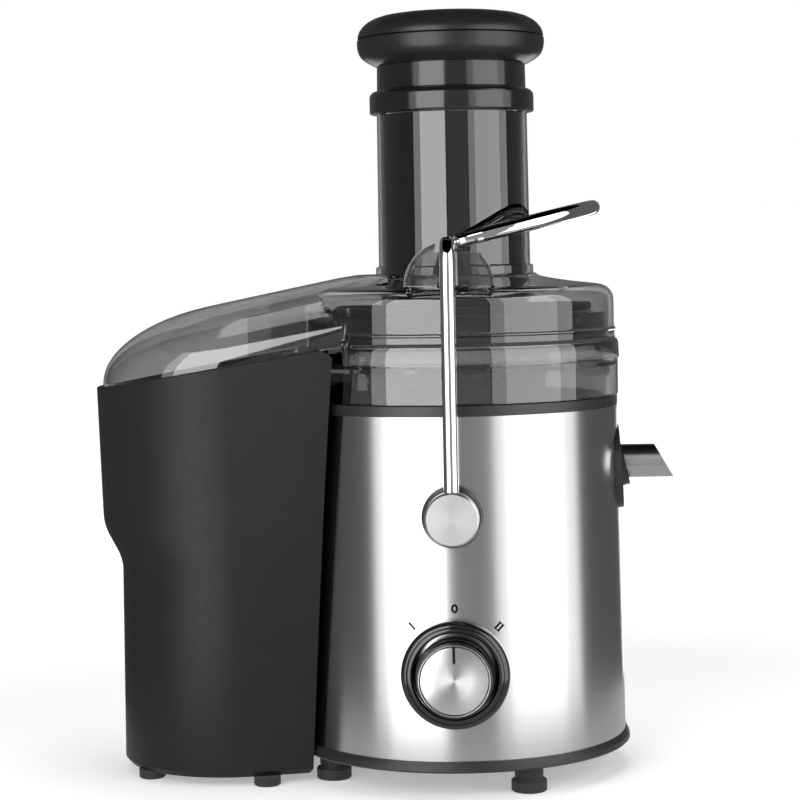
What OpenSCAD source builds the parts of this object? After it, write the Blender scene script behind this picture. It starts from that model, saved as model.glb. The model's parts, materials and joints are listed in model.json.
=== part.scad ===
// Centrifugal juicer: a round steel body with a motor inside, a clear lid with a wide feed tube
// and a pulp hood, a pulp container that stands beside the body, a juice spout, a speed knob
// and a chrome locking arm that swings over the lid.
// Z is up and the body's axis is the Z axis. The front faces -Y, the spout points along +X
// and the pulp container stands on the -X side. Everything is in millimetres.

/* [Body] */
// Height of the rubber feet under the base plate
foot_h = 14; // [12:0.5:16]
// Radius of the base plate's outer edge
base_r = 92; // [91:0.5:94]
// Radius of the steel shell at its lower edge
shell_r_low = 89.7; // [89:0.1:90.5]
// Radius of the steel shell at its upper edge
shell_r_high = 87.6; // [87.2:0.1:88]
// Height of the steel shell's lower edge
shell_bottom = 20; // [19:0.5:21]
// Height of the steel shell's upper edge
shell_top = 198; // [196:0.5:199]
// Height of the black collar's upper edge, which carries the bowl
collar_top = 204; // [203:0.5:205]
// Radius of the circle that the feet stand on
foot_circle_r = 78; // [70:1:80]
// Angle of the first foot, seen from above
foot_angle = 28; // [20:1:40]

/* [Lid and feed tube] */
// Radius of the lid's lower skirt
skirt_r = 89; // [88.6:0.1:89.4]
// Radius of the lid's side wall
lid_r = 86.4; // [86:0.1:86.8]
// Height of the lid's flat shoulder
lid_top = 264; // [262:0.5:265]
// Height of the lid's crown, where it meets the feed tube
crown_z = 270.4; // [268:0.2:270.8]
// Outer radius of the feed tube just above the lid
tube_r = 41.4; // [41:0.1:41.8]
// Inner radius of the feed tube
chute_r = 38; // [37:0.1:38.4]
// Height of the feed tube's upper edge
tube_top = 357.6; // [350:0.2:357.6]
// Wall thickness of the clear plastic parts
clear_wall = 2.4; // [2:0.1:2.8]

/* [Pusher] */
// Radius of the pusher's stem, which slides in the feed tube
stem_r = 37.4; // [36:0.1:37.5]
// Radius of the pusher's stop collar
stop_r = 44.7; // [43:0.1:46]
// Radius of the pusher's neck
neck_r = 40.5; // [38:0.1:41]
// Largest radius of the pusher's cap
cap_r = 50.9; // [48:0.1:52]
// Height of the top of the pusher's cap, which is the top of the juicer
cap_top = 412; // [410:0.5:414]

/* [Locking arm] */
// Height of the arm's pivots
pivot_z = 147; // [144:0.5:150]
// Radius of the arm's rod
rod_r = 3.9; // [3.5:0.1:4.2]
// Distance of the arm's legs from the middle plane
leg_y = 100.7; // [100:0.1:102]
// Height of the arm's corners above the pivots
arm_rise = 139.9; // [139.5:0.1:140.5]
// Half the width of the arm's loop
loop_half_w = 60; // [56:1:62]
// How far the loop reaches from the plane of the legs
loop_reach = 78; // [76:0.5:80]
// Upward slope of the loop
loop_slope = 13.5; // [12:0.5:15]

/* [Knob and spout] */
// Height of the speed knob's axis
knob_z = 65.5; // [60:0.5:70]
// Radius of the knob's glossy bezel
bezel_r = 28.2; // [26:0.1:28.6]
// Radius of the knob's metal cap
knob_cap_r = 18.3; // [17.5:0.1:18.4]
// Height of the juice spout's axis
spout_z = 166.3; // [165:0.1:167]
// Outer radius of the juice spout
spout_r = 9.2; // [8.8:0.1:9.4]
// How far the lower lip of the spout reaches from the body's axis
spout_reach = 118; // [114:0.5:120]

/* [Pulp container] */
// Radius of the hollow back that fits round the body
nest_r = 93; // [93:0.1:94]
// Height of the container's underside
tub_bottom = 5; // [4.5:0.5:6]
// Wall thickness of the container
tub_wall = 2.5; // [2:0.1:2.8]
// Slope of the container's rim
rim_slope = 8.8; // [8.6:0.1:9]
// Height of the rim's plane where it crosses the body's axis
rim_plane_z = 243.2; // [243:0.1:243.5]

/* [Hidden] */
$fn = 96;

// Small helpers and clearances
eps = 0.01;
run_gap = 0.05;      // radial clearance of a running fit
free_gap = 0.3;      // gap between pieces that move past each other
touch_gap = 0.05;    // gap between fixed curved faces that nearly touch

// Body
shell_t = 1;
plate_t = 3;
deck_z = 178;        // underside of the deck that carries the motor
deck_t = 3;
deck_r = 83;
post_circle_r = 74;  // circle of the four posts that hold the base plate
post_r = 5;
mount_circle_r = 42; // circle of the four motor mounts
mount_top = 160;     // height of the top of the mounts' rubber
grommet_z = 40;
grommet_bore_r = 3.6;
grommet_neck_r = 6.5;

// Juice path
drain_x = 68;
drain_r = 6.5;

// Motor stack, all heights on the body's axis
shaft_r = 4;
shaft_low = 30;
shaft_high = 200;
stack_low = 70;      // underside of the plate stack
stack_high = 110;
winding_rise = 9;    // how far the windings stand out of the plate stack
stator_r = 50;
stator_flat = 46;    // distance of the stator's flats from the axis
stator_bore_r = 27;
core_r = 26.2;       // armature's plates, inside the stator's bore
coil_in_r = 30;
coil_out_r = 40;
coil_half_turn = 57; // half the angle that a field coil spans
coil_side_turn = 14; // angle that one side of a coil takes
tie_circle_r = 45;   // circle of the posts that tie the brackets to the stator
tie_r = 4;
bearing_r = 11;
bearing_h = 7;
upper_bearing_z = 140;
lower_bearing_z = 32;
commutator_z = 46;
commutator_h = 13;
fan_z = 123;
blade_h = 10;
upper_bar_z = 136;   // underside of the upper bracket's bars
lower_bar_z = 40;
bar_w = 12;
bar_t = 4;
brush_z = 52;        // height of the brushes' axis

// Basket
basket_low = 210;
basket_high = 250;
basket_r_low = 46;
basket_r_high = 68;

// Locking arm
bend_r = 10;         // bends of the rod, on its centre line
leg_foot = 6.5;      // height of a leg's foot above the pivot
hub_r = 14;
hub_in = 96.2;       // inner and outer faces of a hub, from the middle plane
hub_out = 105.4;
pin_r = 5;
rod_fn = 48;         // sides of the rod's circle

// Pusher, heights of its steps
stop_z = 358;        // underside of the stop collar, just above the tube
neck_z = 369.7;
cap_z = 383.4;
seam_z = 398.3;      // joint between the cap's two halves

// Shoulder of the hood: how far it is drawn in, and its height above the rim's plane there
HOOD_STEPS = [[0, -3], [0.5, 5], [3, 14.5], [8, 21.5], [17, 26.8], [30, 30], [46, 32], [60, 33]];
hood_in = 4.5;       // step between the container's wall and the hood's
hood_x = -124.5;     // middle of the hood's oval
hood_a = 74;         // half length and half depth of the oval
hood_corner = [-54, 70];
hood_top = 271.3;    // the hood's roof goes no higher than this near the body

// Each level of the container: height, half length, half depth, outer end, corner x and y
TUB_LEVELS = [
    [tub_bottom, 59, 57.5, -185.5, -84, 48],
    [tub_bottom + 3, 61.5, 60, -188.2, -81, 50.5],
    [117.5, 62.5, 67, -186.6, -70, 60],
    [136.5, 72, 68.5, -196.8, -68, 61.5],
    [260, 75.5, 76, -199.5, -57, 72]];
TUB_FEET = [[-168.8, -32.7], [-103.4, -52.6], [-103.4, 52.6], [-168.8, 32.7]];

// Points of an arc about c with radius r, from angle a0 to a1 in n steps
function arc(c, r, a0, a1, n = 8) =
    [for (i = [0:n]) c + r * [cos(a0 + (a1 - a0) * i / n), sin(a0 + (a1 - a0) * i / n)]];

// Radius of the steel shell's outer face at height z
function shell_r(z) = shell_r_low
    + (shell_r_high - shell_r_low) * (z - shell_bottom) / (shell_top - shell_bottom);

// Turns a shape that is modelled along +Z so that it points to the front
module to_front() rotate([90, 0, 0]) children();

// Turns a shape that is modelled along +Z so that it points to the spout's side
module to_side() rotate([0, 90, 0]) children();

// Cylinder with its axis along -Y from distance y0 to y1 in front of the body's axis
module front_rod(r, y0, y1, x = 0, z = 0)
    translate([x, -y0, z]) to_front() cylinder(h = y1 - y0, r = r);

// Everything inside the shell's outer face, with a small gap, to trim what sits on it
module shell_solid(gap) {
    extra = 4;
    z0 = shell_bottom - extra;
    z1 = shell_top + extra;
    translate([0, 0, z0])
        cylinder(h = z1 - z0, r1 = shell_r(z0) + gap, r2 = shell_r(z1) + gap, $fn = 160);
}

// ---------- Body ----------

module base_plate() color([0.12, 0.12, 0.12])
    difference() {
        rotate_extrude($fn = 160) polygon([
            [24, foot_h], [base_r - 1, foot_h], [base_r, foot_h + 1], [base_r - 0.3, foot_h + 3.5],
            [base_r - 1.6, shell_bottom], [shell_r_low - shell_t - 0.2, shell_bottom],
            [shell_r_low - shell_t - 0.3, shell_bottom + 6], [shell_r_low - 3, shell_bottom + 6],
            [shell_r_low - 3, foot_h + plate_t], [24, foot_h + plate_t]]);
        for (i = [0:3]) {
            rotate(foot_angle + 90 * i) translate([foot_circle_r, 0, foot_h - 1])
                cylinder(h = plate_t + 2, r = 4.05);
            rotate(45 + 90 * i) translate([post_circle_r, 0, foot_h - 1])
                cylinder(h = plate_t + 2, r = 2.2);
        }
        for (i = [0:23]) rotate(15 * i) translate([34, -1.5, foot_h - 1])
            cube([16, 3, plate_t + 2]);
    }

module body_shell() color([0.78, 0.78, 0.79])
    difference() {
        translate([0, 0, shell_bottom])
            cylinder(h = shell_top - shell_bottom, r1 = shell_r_low, r2 = shell_r_high, $fn = 160);
        translate([0, 0, shell_bottom - 1])
            cylinder(h = shell_top - shell_bottom + 2,
                r1 = shell_r(shell_bottom - 1) - shell_t, r2 = shell_r(shell_top + 1) - shell_t,
                $fn = 160);
        front_rod(6, 70, 100, 0, knob_z);
        front_rod(5.3, -100, 100, 0, pivot_z);
        front_rod(grommet_neck_r + 0.1, -100, -70, 0, grommet_z);
        translate([60, 0, spout_z]) to_side() cylinder(h = 50, r = spout_r + 1.5);
    }

module top_collar() color([0.1, 0.1, 0.1])
    rotate_extrude($fn = 160) polygon([
        [deck_r - 2, deck_z - 2], [86.2, deck_z - 2], [86.2, shell_top], [shell_r_high, shell_top],
        [shell_r_high, collar_top - 0.6], [shell_r_high - 0.6, collar_top],
        [85, collar_top], [85, deck_z + 1], [deck_r + touch_gap, deck_z + 1],
        [deck_r + touch_gap, deck_z], [deck_r - 2, deck_z]]);

module motor_deck() color([0.1, 0.1, 0.1])
    difference() {
        union() {
            translate([0, 0, deck_z]) cylinder(h = deck_t, r = deck_r, $fn = 160);
            for (i = [0:3]) {
                rotate(45 + 90 * i) translate([post_circle_r, 0, foot_h + plate_t + 0.1])
                    cylinder(h = deck_z - foot_h - plate_t, r = post_r);
                rotate(45 + 90 * i) translate([mount_circle_r, 0, mount_top])
                    cylinder(h = deck_z - mount_top + 1, r = 6);
            }
        }
        translate([0, 0, deck_z - 1]) cylinder(h = deck_t + 2, r = 12);
        translate([drain_x, 0, deck_z - 1]) cylinder(h = deck_t + 2, r = drain_r + 2.2);
        for (i = [0:3]) {
            rotate(45 + 90 * i) translate([post_circle_r, 0, foot_h])
                cylinder(h = 24, r = 1.7);
            rotate(45 + 90 * i) translate([mount_circle_r, 0, mount_top - 1])
                cylinder(h = 12, r = 2);
        }
    }

module foot_at(i) color([0.08, 0.08, 0.08])
    rotate(foot_angle + 90 * (i - 1)) translate([foot_circle_r, 0, 0])
        rotate_extrude() polygon([
            [0, 0], [8.7, 0], [9.4, 0.7], [9.4, 5.7], [8.7, 6.4], [6.8, 6.6], [6.8, 8],
            [7.6, 8.2], [7.6, foot_h], [4, foot_h], [4, foot_h + plate_t + 1],
            [0, foot_h + plate_t + 1]]);

module cord_grommet() color([0.1, 0.1, 0.1])
    translate([0, shell_r(grommet_z) - 4, grommet_z]) rotate([-90, 0, 0])
        rotate_extrude() polygon([
            [5, 0], [8.5, 0], [8.5, 2.4], [grommet_neck_r, 2.4], [grommet_neck_r, 4.6], [9, 4.6],
            [9, 6], [7.5, 9], [grommet_bore_r, 9], [grommet_bore_r, 4.9], [5, 4.9]]);

module base_screws() color([0.6, 0.6, 0.62])
    for (i = [0:3]) rotate(45 + 90 * i) translate([post_circle_r, 0, 0]) {
        difference() {
            translate([0, 0, foot_h - 2.2]) cylinder(h = 2.2, r1 = 3.2, r2 = 4);
            translate([-3, -0.5, foot_h - 3]) cube([6, 1, 1.8]);
            translate([-0.5, -3, foot_h - 3]) cube([1, 6, 1.8]);
        }
        translate([0, 0, foot_h - eps]) cylinder(h = 20, r = 1.65);
    }

// ---------- Knob and switch ----------

module knob_bezel() color([0.06, 0.06, 0.06])
    difference() {
        translate([0, 0, knob_z]) to_front() rotate_extrude() polygon([
            [6.2, 76], [bezel_r, 76], [bezel_r, 93], [bezel_r - 0.9, 94.3],
            [22.4, 96.6], [21.5, 96.2], [21, 95], [6.2, 95]]);
        shell_solid(touch_gap);
    }

module knob() color([0.05, 0.05, 0.05])
    translate([0, 0, knob_z]) to_front() rotate_extrude() polygon([
        [3, 95.4], [20.4, 95.4], [20.5, 98], [19.7, 108], [19.2, 109], [knob_cap_r + 0.05, 109],
        [knob_cap_r + 0.05, 107], [3, 107]]);

module knob_cap() color([0.85, 0.85, 0.86])
    difference() {
        translate([0, 0, knob_z]) to_front() rotate_extrude() polygon([
            [0, 107], [knob_cap_r, 107], [knob_cap_r, 109], [knob_cap_r - 0.5, 109.5], [0, 109.5]]);
        translate([-0.9, -110, knob_z + knob_cap_r - 10.5]) cube([1.8, 1.7, 11]);
    }

module knob_shaft() color([0.7, 0.7, 0.7]) front_rod(3, 62, 107, 0, knob_z);

module speed_switch() color([0.15, 0.15, 0.16])
    difference() {
        union() {
            translate([-15, -76, knob_z - 14]) cube([30, 15, 28]);
            front_rod(5.8, 75, 94.5, 0, knob_z);
            for (i = [-1:1]) translate([6 * i - 1, -61.5, knob_z - 4]) cube([2, 8, 8]);
        }
        front_rod(3 + run_gap, 61.8, 95, 0, knob_z);
    }

// ---------- Spout ----------

module spout_bore() translate([56, 0, spout_z]) to_side() cylinder(h = 70, r = spout_r - 1.2);

module spout() color([0.82, 0.82, 0.83])
    difference() {
        translate([54.8, 0, spout_z]) to_side() cylinder(h = 64, r = spout_r);
        spout_bore();
        translate([drain_x, 0, spout_z]) cylinder(h = 12, r = drain_r);
        translate([spout_reach, 0, spout_z - spout_r]) rotate([0, -30, 0])
            translate([0, -20, -10]) cube([40, 40, 60]);
    }

module spout_housing() color([0.1, 0.1, 0.1])
    difference() {
        union() {
            translate([82, 0, 163.5]) rotate([0, 87, 0]) cylinder(h = 7.2, r = 23);
            translate([80, 0, 163.8]) rotate([0, 77, 0]) cylinder(h = 11.5, r = 13);
        }
        shell_solid(touch_gap);
        translate([60, 0, spout_z]) to_side() cylinder(h = 60, r = spout_r + touch_gap);
    }

// ---------- Locking arm ----------

// Straight piece of the arm's rod, along +Z
module rod_straight(length) cylinder(h = length, r = rod_r, $fn = rod_fn);

// Bend of the rod in the XY plane, from the +X axis through the given angle
module rod_bend(r, turn) rotate_extrude(angle = turn) translate([r, 0])
    circle(r = rod_r, $fn = rod_fn);

// One half of the arm: leg, corner and the rung that rests in the lid's latch, on the front side
module arm_half() {
    translate([0, -leg_y, pivot_z + leg_foot]) rod_straight(arm_rise - bend_r - leg_foot);
    translate([0, bend_r - leg_y, pivot_z + arm_rise - bend_r]) rotate([90, 0, -90])
        rod_bend(bend_r, 90);
    translate([0, bend_r - leg_y, pivot_z + arm_rise]) rotate([-90, 0, 0])
        rod_straight(leg_y - 2 * bend_r - loop_half_w);
}

// The loop in its own sloping plane: two bends, two straights and a half circle
module arm_loop() translate([0, 0, pivot_z + arm_rise]) rotate([0, -loop_slope, 0]) {
    straight = loop_reach - loop_half_w - bend_r;
    for (side = [-1, 1]) {
        translate([bend_r, side * (loop_half_w + bend_r), 0])
            rotate(side < 0 ? 90 : 180) rod_bend(bend_r, 90);
        translate([bend_r, side * loop_half_w, 0]) rotate([0, 90, 0]) rod_straight(straight);
    }
    translate([bend_r + straight, 0, 0]) rotate(-90) rod_bend(loop_half_w, 180);
}

module locking_arm() color([0.85, 0.85, 0.87]) {
    arm_half();
    mirror([0, 1, 0]) arm_half();
    arm_loop();
}

module arm_hub(side) color([0.75, 0.75, 0.76])
    mirror([0, side, 0]) difference() {
        translate([0, 0, pivot_z]) to_front() rotate_extrude() polygon([
            [0, hub_in], [hub_r, hub_in], [hub_r, hub_out - 1], [hub_r - 1, hub_out], [0, hub_out]]);
        front_rod(pin_r + run_gap, hub_in - 1, 101.6, 0, pivot_z);
        translate([0, -leg_y, pivot_z + leg_foot]) cylinder(h = hub_r, r = rod_r);
    }

module pivot_boss(side) color([0.12, 0.12, 0.12])
    mirror([0, side, 0]) difference() {
        translate([0, 0, pivot_z]) to_front() rotate_extrude() polygon([
            [pin_r, 80], [16, 80], [16, 92], [14.6, 95.6], [pin_r, 95.6]]);
        shell_solid(touch_gap);
    }

module pivot_pin(side) color([0.7, 0.7, 0.7])
    mirror([0, side, 0]) {
        front_rod(pin_r, 84, 101.2, 0, pivot_z);
        front_rod(8, 81, 84 + eps, 0, pivot_z);
    }

module safety_switch() color([0.15, 0.15, 0.16]) {
    translate([-10, -80, pivot_z - 24]) cube([20, 8, 12]);
    translate([-1.5, -79, pivot_z - 12 - eps]) cube([3, 6, 2.5]);
    translate([-8, -78, pivot_z - 28]) cube([2, 1, 4.01]);
    translate([6, -78, pivot_z - 28]) cube([2, 1, 4.01]);
}

// ---------- Juice bowl and lid ----------

module juice_bowl() color([0.35, 0.35, 0.36, 0.5])
    difference() {
        union() {
            rotate_extrude($fn = 160) polygon([
                [17, 184], [84.5, 184], [84.5, collar_top + 0.2], [88.2, collar_top + 0.2],
                [88.3, 223.4], [82.8, 223.4], [82.8, 249], [75.8, 249], [75.8, 247],
                [80.4, 247], [80.4, 222], [82, 220], [82, 186.5], [19.5, 186.5], [19.5, 203], [17, 203]]);
            translate([drain_x, 0, 176.2]) cylinder(h = 8, r = drain_r + 1.5);
        }
        translate([drain_x, 0, 170]) cylinder(h = 20, r = drain_r);
    }

// Thin slice of the hood or container at one height, with its outer end at x_end
module tub_slice(a, b, x_end, corner, h) {
    corner_r = 4;
    translate([x_end + a, 0, 0]) scale([a, b, 1]) cylinder(h = h, r = 1, $fn = 72);
    for (side = [-1, 1]) translate([corner[0], side * (corner[1] - corner_r), 0])
        cylinder(h = h, r = corner_r, $fn = 24);
}

// Solid hood, drawn in by t all round, in its place above the container
module hood_solid(t, drop) intersection() {
    translate([0, 0, rim_plane_z]) rotate([0, -rim_slope, 0]) hull()
        for (s = HOOD_STEPS) {
            d = hood_in + s[0] + t;
            x_end = (hood_x - hood_a) / cos(rim_slope) + d;
            translate([0, 0, s[1] - (s[1] > 0 ? t : drop)])
                tub_slice(hood_a + 0.6 - d, hood_a - d, x_end,
                    [hood_corner[0], max(hood_corner[1] - d, 14)], eps);
        }
    translate([-210, -90, 200]) cube([200, 180, hood_top - t - 200]);
}

// Upright latch on the lid's top, with a notch that the arm's rung snaps into
module latch(side) mirror([0, side, 0]) {
    latch_r = 23.3;
    latch_z = 264.9;
    sweep_r = arm_rise - rod_r - free_gap;
    difference() {
        intersection() {
            translate([0, -66, latch_z]) to_front() cylinder(h = 15, r = latch_r);
            translate([-30, -90, 262]) cube([60, 60, 40]);
        }
        translate([0, -60, latch_z]) to_front() cylinder(h = 18.6, r = latch_r - 2.2);
        translate([-7, -90, pivot_z + arm_rise - rod_r - free_gap]) cube([40, 40, 20]);
        difference() {
            translate([0, -90, pivot_z + arm_rise - 12]) cube([40, 40, 30]);
            front_rod(sweep_r, 40, 95, 0, pivot_z);
        }
    }
}

module lid_wall_profile(d) polygon(concat(
    [[chute_r - 6, 230], [lid_r - d, 230]],
    arc([lid_r - 8 - 0.4, lid_top - 8], 8 - d, 0, 84, 8),
    [[44, crown_z - d], [chute_r - 6, crown_z - d]]));

module lid() color([0.35, 0.35, 0.36, 0.5])
    difference() {
        union() {
            difference() {
                union() {
                    rotate_extrude($fn = 160) lid_wall_profile(0);
                    difference() {
                        hood_solid(0, 0);
                        translate([0, 0, rim_plane_z]) rotate([0, -rim_slope, 0])
                            translate([-98, -100, -20]) cube([100, 200, 20.8]);
                    }
                }
                translate([0, 0, -0.01]) rotate_extrude($fn = 160) lid_wall_profile(clear_wall);
                hood_solid(clear_wall, 1);
                translate([0, 0, 225]) cylinder(h = 5.2, r = lid_r - clear_wall);
            }
            rotate_extrude($fn = 160) polygon([
                [skirt_r - 1.9, 224], [skirt_r - 0.6, 224], [skirt_r, 224.6], [skirt_r, 235.2],
                [skirt_r - 0.8, 235.6], [lid_r, 235.6], [lid_r - 1, 233.4], [skirt_r - 1.9, 233]]);
            for (side = [0, 1]) latch(side);
        }
        translate([0, 0, 225]) cylinder(h = 60, r = tube_r + touch_gap);
    }

module feed_tube() color([0.4, 0.4, 0.41, 0.5])
    rotate_extrude($fn = 160) polygon([
        [chute_r, 217], [39.6, 217], [40.6, 219], [tube_r - 0.1, 262],
        [tube_r, crown_z + 0.1], [tube_r + 1.6, crown_z + 0.1], [tube_r + 1.6, crown_z + 4.2],
        [tube_r, crown_z + 5], [tube_r - 0.5, tube_top - 0.6], [tube_r - 1, tube_top], [chute_r, tube_top]]);

// ---------- Pusher ----------

module pusher_stem() color([0.05, 0.05, 0.05])
    rotate_extrude($fn = 160) polygon(concat(
        [[0, 221], [stem_r - 2, 221], [stem_r, 223], [stem_r, stop_z], [stop_r - 0.4, stop_z],
         [stop_r, stop_z + 0.6]],
        arc([stop_r - 3.6, neck_z - 3.2], 3.6, 0, 80, 6),
        [[neck_r + 0.3, neck_z + 0.6], [neck_r, neck_z + 1], [neck_r - 0.2, cap_z],
         [neck_r - 3, cap_z], [neck_r - 3, stop_z], [stem_r - 2.4, stop_z - 4],
         [stem_r - 2.4, 224], [0, 224]]));

module pusher_cap_base() color([0.07, 0.07, 0.07])
    rotate_extrude($fn = 160) polygon(concat(
        [[0, cap_z], [neck_r - 0.4, cap_z], [43, cap_z + 0.6]],
        arc([cap_r - 7.6, seam_z - 6.6], 7.6, -62, 6, 10),
        [[cap_r - 0.1, seam_z - 0.5], [cap_r - 0.9, seam_z - 0.1], [cap_r - 1.6, seam_z],
         [cap_r - 3, seam_z], [cap_r - 4, cap_z + 8], [38, cap_z + 3], [0, cap_z + 3]]));

module pusher_cap_top() color([0.07, 0.07, 0.07])
    rotate_extrude($fn = 160) polygon(concat(
        [[cap_r - 3, seam_z], [cap_r - 1.6, seam_z], [cap_r - 0.9, seam_z + 0.3],
         [cap_r - 0.3, seam_z + 0.9]],
        [for (a = [6:7:90])
            [(cap_r - 0.35) * pow(cos(a), 0.42), seam_z + (cap_top - seam_z) * pow(sin(a), 0.8)]],
        [[0, cap_top], [0, cap_top - 2.6], [40, cap_top - 6], [cap_r - 4.6, seam_z + 4]]));

// ---------- Pulp container ----------

// Outer shape of the container between two heights, drawn in by t
module tub_body(t, z_lift)
    for (stage = [0:2]) hull()
        for (k = [stage == 0 ? 0 : stage + 1 : stage + 2]) tub_level(k, t, z_lift);

module tub_level(k, t, z_lift) {
    level = TUB_LEVELS[k];
    translate([0, 0, level[0] + (k < 2 ? z_lift : 0)])
        tub_slice(level[1] - t, level[2] - t, level[3] + t, [level[4], level[5] - t], eps);
}

// Space above the rim's sloping plane, with the rounded inner corner
module above_rim() {
    translate([0, 0, rim_plane_z]) rotate([0, -rim_slope, 0])
        translate([-260, -120, 0]) cube([300, 240, 80]);
    translate([-61, 0, 233.3]) rotate([0, -rim_slope, 0]) difference() {
        translate([-9, -120, -9]) cube([20, 240, 30]);
        translate([-9, 130, -9]) rotate([90, 0, 0]) cylinder(h = 260, r = 9);
        translate([-30, -130, -30]) cube([21, 260, 60]);
    }
}

module pulp_container() color([0.17, 0.17, 0.17])
    difference() {
        tub_body(0, 0);
        difference() {
            tub_body(tub_wall, tub_wall);
            cylinder(h = 300, r = nest_r + tub_wall, $fn = 160);
        }
        translate([0, 0, -1]) cylinder(h = 300, r = nest_r, $fn = 160);
        above_rim();
    }

module container_foot(i) color([0.08, 0.08, 0.08])
    translate([TUB_FEET[i - 1][0], TUB_FEET[i - 1][1], 0]) rotate_extrude() polygon([
        [0, 0], [6.4, 0], [7.2, 0.8], [7.2, tub_bottom], [0, tub_bottom]]);

// ---------- Basket and drive ----------

module filter_basket() color([0.7, 0.7, 0.7])
    rotate_extrude($fn = 120) polygon([
        [basket_r_low, basket_low], [basket_r_low + 0.9, basket_low],
        [basket_r_high + 0.9, basket_high], [basket_r_high, basket_high]]);

module basket_hub() color([0.15, 0.15, 0.15])
    difference() {
        rotate_extrude() polygon([
            [11.4, 189], [15.5, 189], [15.5, 205.5], [48.5, 205.5], [49.4, 212], [48.2, 212],
            [47.1, basket_low], [0, basket_low], [0, 206.5], [11.4, 206.5]]);
        for (i = [0:5]) rotate(60 * i) translate([11.2, -1.2, 188]) cube([2, 2.4, 16]);
    }

module basket_rim() color([0.2, 0.2, 0.2])
    rotate_extrude($fn = 120) polygon([
        [basket_r_high + 0.2, basket_high], [73.4, basket_high], [74.2, basket_high + 0.8],
        [74.2, basket_high + 3], [73.4, basket_high + 3.8], [basket_r_high + 0.2, basket_high + 3.8]]);

module grater_disc() color([0.8, 0.8, 0.8]) {
    translate([0, 0, basket_low]) cylinder(h = 1.2, r = 45);
    translate([0, 0, basket_low + 1.2 - eps]) cylinder(h = 2, r1 = 7, r2 = 4);
    for (arm = [0:5]) for (k = [0:5])
        rotate(60 * arm + 7 * k) translate([12 + 6 * k, 0, basket_low + 1.2 - eps])
            cylinder(h = 1.5, r1 = 1.3, r2 = 0.3, $fn = 16);
}

module drive_coupling() color([0.3, 0.3, 0.3])
    difference() {
        union() {
            translate([0, 0, 188]) cylinder(h = 16, r = 10.8);
            for (i = [0:5]) rotate(60 * i) translate([10, -1, 190]) cube([2.6, 2, 13]);
        }
        translate([0, 0, 187]) cylinder(h = shaft_high - 187, r = shaft_r);
    }

module motor_shaft() color([0.65, 0.65, 0.66])
    translate([0, 0, shaft_low]) cylinder(h = shaft_high - shaft_low, r = shaft_r);

module armature() color([0.55, 0.3, 0.15])
    difference() {
        union() {
            translate([0, 0, stack_low]) cylinder(h = stack_high - stack_low, r = core_r);
            translate([0, 0, stack_low - winding_rise])
                cylinder(h = stack_high - stack_low + 2 * winding_rise, r = 21);
        }
        translate([0, 0, stack_low - winding_rise - 1])
            cylinder(h = stack_high - stack_low + 2 * winding_rise + 2, r = shaft_r);
        for (i = [0:11]) rotate(30 * i) translate([23, -1, stack_low - 1])
            cube([5, 2, stack_high - stack_low + 2]);
    }

module commutator() color([0.75, 0.45, 0.25])
    difference() {
        translate([0, 0, commutator_z]) cylinder(h = commutator_h, r = bearing_r);
        translate([0, 0, commutator_z - 1]) cylinder(h = commutator_h + 2, r = shaft_r);
        for (i = [0:11]) rotate(30 * i) translate([10.2, -0.3, commutator_z - 1])
            cube([2, 0.6, commutator_h]);
    }

module cooling_fan() color([0.85, 0.82, 0.7])
    difference() {
        union() {
            translate([0, 0, fan_z]) cylinder(h = 1.6, r = 33);
            translate([0, 0, fan_z]) cylinder(h = blade_h + 1, r = 9);
            for (i = [0:11]) rotate(30 * i) translate([8, -0.8, fan_z]) cube([24, 1.6, blade_h]);
        }
        translate([0, 0, fan_z - 1]) cylinder(h = blade_h + 3, r = shaft_r);
    }

module bearing_at(z) color([0.6, 0.6, 0.62])
    translate([0, 0, z]) difference() {
        cylinder(h = bearing_h, r = bearing_r);
        translate([0, 0, -1]) cylinder(h = bearing_h + 2, r = shaft_r + run_gap);
        for (zz = [-eps, bearing_h - 0.5]) translate([0, 0, zz]) difference() {
            cylinder(h = 0.5 + eps, r = 9);
            translate([0, 0, -1]) cylinder(h = 3, r = 6.2);
        }
    }

// Part of a ring about the axis, from angle a0 to a1, between two radii and two heights
module ring_part(a0, a1, r0, r1, z0, z1)
    rotate(a0) translate([0, 0, z0]) rotate_extrude(angle = a1 - a0) translate([r0, 0])
        square([r1 - r0, z1 - z0]);

// Slots in the plate stack that the coils' sides pass through
module coil_slots(gap)
    for (pole = [0, 180]) for (side = [0, 1]) rotate(pole) mirror([0, side, 0])
        ring_part(coil_half_turn - coil_side_turn - gap, coil_half_turn + gap,
            coil_in_r - gap / 2, coil_out_r + gap / 2, stack_low - 1, stack_high + 1);

module stator() color([0.45, 0.45, 0.47])
    difference() {
        intersection() {
            translate([0, 0, stack_low]) cylinder(h = stack_high - stack_low, r = stator_r);
            translate([-stator_flat, -stator_flat, stack_low - 1])
                cube([2 * stator_flat, 2 * stator_flat, stack_high - stack_low + 2]);
        }
        translate([0, 0, stack_low - 1])
            cylinder(h = stack_high - stack_low + 2, r = stator_bore_r);
        coil_slots(0.4);
        for (i = [0:3]) rotate(45 + 90 * i) translate([tie_circle_r, 0, stack_low - 1])
            cylinder(h = stack_high - stack_low + 2, r = 2.1);
    }

module field_coils() color([0.75, 0.4, 0.2])
    for (pole = [0, 180]) rotate(pole) difference() {
        ring_part(-coil_half_turn, coil_half_turn, coil_in_r, coil_out_r,
            stack_low - 1 - winding_rise, stack_high + 1 + winding_rise);
        ring_part(coil_side_turn - coil_half_turn, coil_half_turn - coil_side_turn,
            coil_in_r - 2, coil_out_r + 2, stack_low - 1, stack_high + 1);
    }

module bracket_posts(z0, z1)
    for (i = [0:3]) rotate(45 + 90 * i) translate([tie_circle_r, 0, z0])
        cylinder(h = z1 - z0, r = tie_r);

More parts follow.
